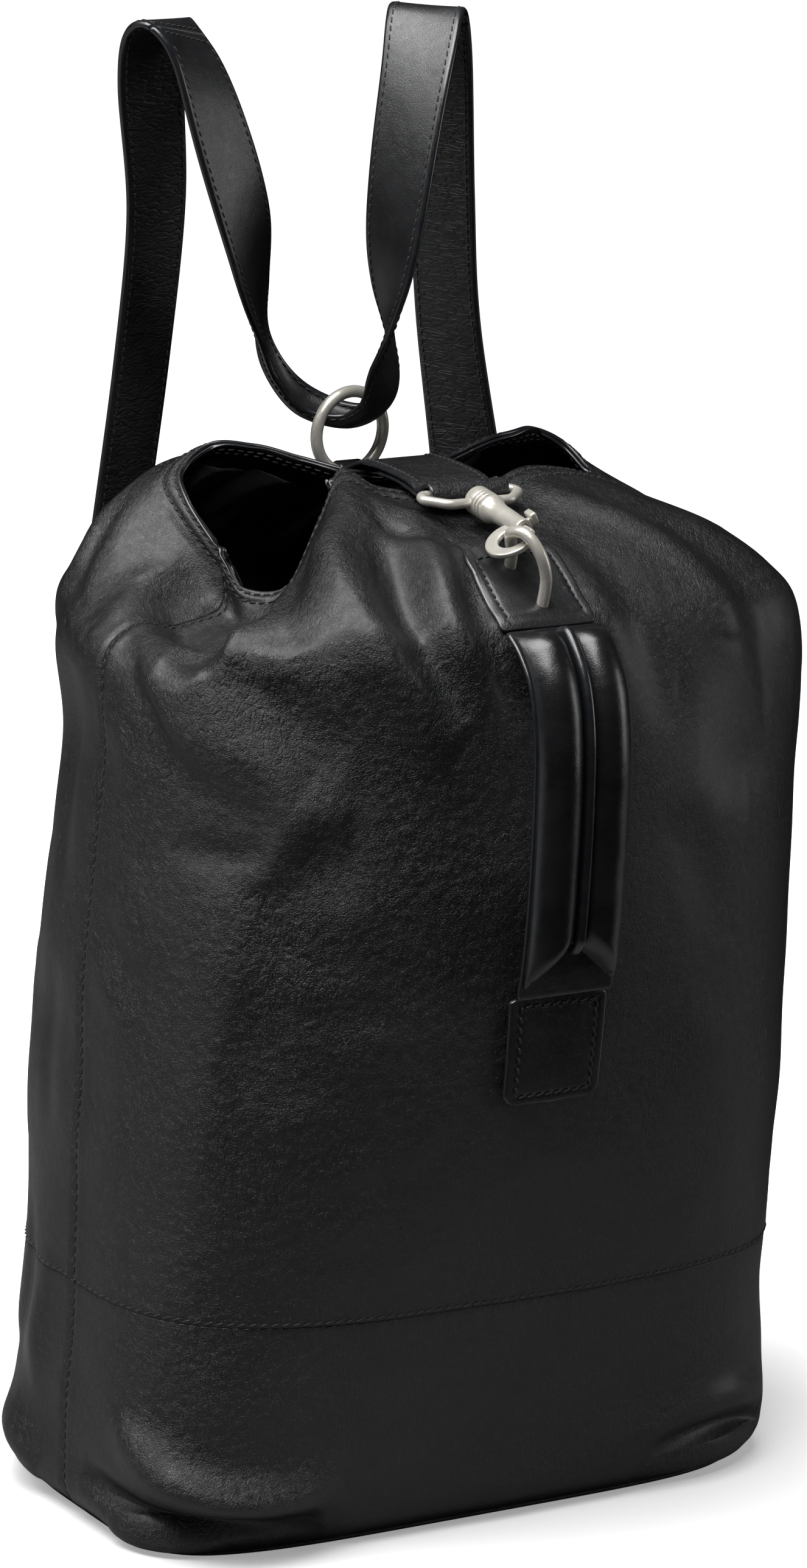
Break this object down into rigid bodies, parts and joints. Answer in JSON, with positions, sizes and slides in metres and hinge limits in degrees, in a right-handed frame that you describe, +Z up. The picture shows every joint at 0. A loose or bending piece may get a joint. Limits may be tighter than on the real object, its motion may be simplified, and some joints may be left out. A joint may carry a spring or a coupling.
{
  "type": "leather bucket backpack",
  "caption": "Tall soft leather bucket backpack with a pulled-in mouth, swivel snap closure, padded upright grab handle and one shoulder strap threaded through a ring.",
  "frame": {"origin": "centre of the base panel's underside, on the floor", "axes": "+Z up along the bag's height, -Y towards the front with the grab handle, +X to the right seen from the front"},
  "size_m": [0.3522, 0.269, 0.6578],
  "materials": {
    "body_leather": "glossy black with a fine crease grain",
    "strap_leather": "smooth glossy black with painted edges",
    "lining_cloth": "matt black twill",
    "board": "matt black stiffener board",
    "nickel": "satin nickel"
  },
  "bodies": {
    "bag": {"lower_front_band": "body_leather", "lower_rear_band": "body_leather", "front_panel": "body_leather", "rear_panel": "body_leather", "front_mouth_facing": "body_leather", "rear_mouth_facing": "body_leather", "base_panel": "body_leather", "base_board": "board", "lining": "lining_cloth", "front_ring": "nickel", "handle_top_patch": "strap_leather", "handle_backing": "strap_leather", "handle_left_lobe": "strap_leather", "handle_right_lobe": "strap_leather", "handle_welt": "strap_leather", "handle_lower_tab": "strap_leather", "rear_ring_loop": "strap_leather", "closure_strap": "strap_leather", "strap_left": "strap_leather", "strap_middle": "strap_leather", "strap_right": "strap_leather", "strap_anchor_left": "strap_leather", "strap_anchor_right": "strap_leather"},
    "rear_ring": {"rear_o_ring": "nickel"},
    "eye": {"snap_eye": "nickel"},
    "hook": {"snap_hook": "nickel", "bolt_spring": "nickel"},
    "bolt": {"snap_bolt": "nickel", "bolt_knob": "nickel"}
  },
  "joints": [
    {"name": "ring_swing", "type": "hinge", "parent": "bag", "child": "rear_ring", "pos_m": [0, 0.067, 0.446], "axis": [1, 0, 0], "range_deg": [-6, 5]},
    {"name": "eye_tilt", "type": "hinge", "parent": "bag", "child": "eye", "pos_m": [0, -0.0311, 0.45758], "axis": [1, 0, 0], "range_deg": [0, 3]},
    {"name": "hook_swivel", "type": "hinge", "parent": "eye", "child": "hook", "pos_m": [0, -0.044, 0.456], "axis": [0, -0.9925, -0.1219], "range_deg": [-10, 12]},
    {"name": "bolt_slide", "type": "slide", "parent": "hook", "child": "bolt", "axis": [0, 0.9925, 0.1219], "range_m": [0, 0.006], "stiffness_N_per_m": 300, "springref_m": -0.003, "deforming": ["bolt_spring"]}
  ]
}
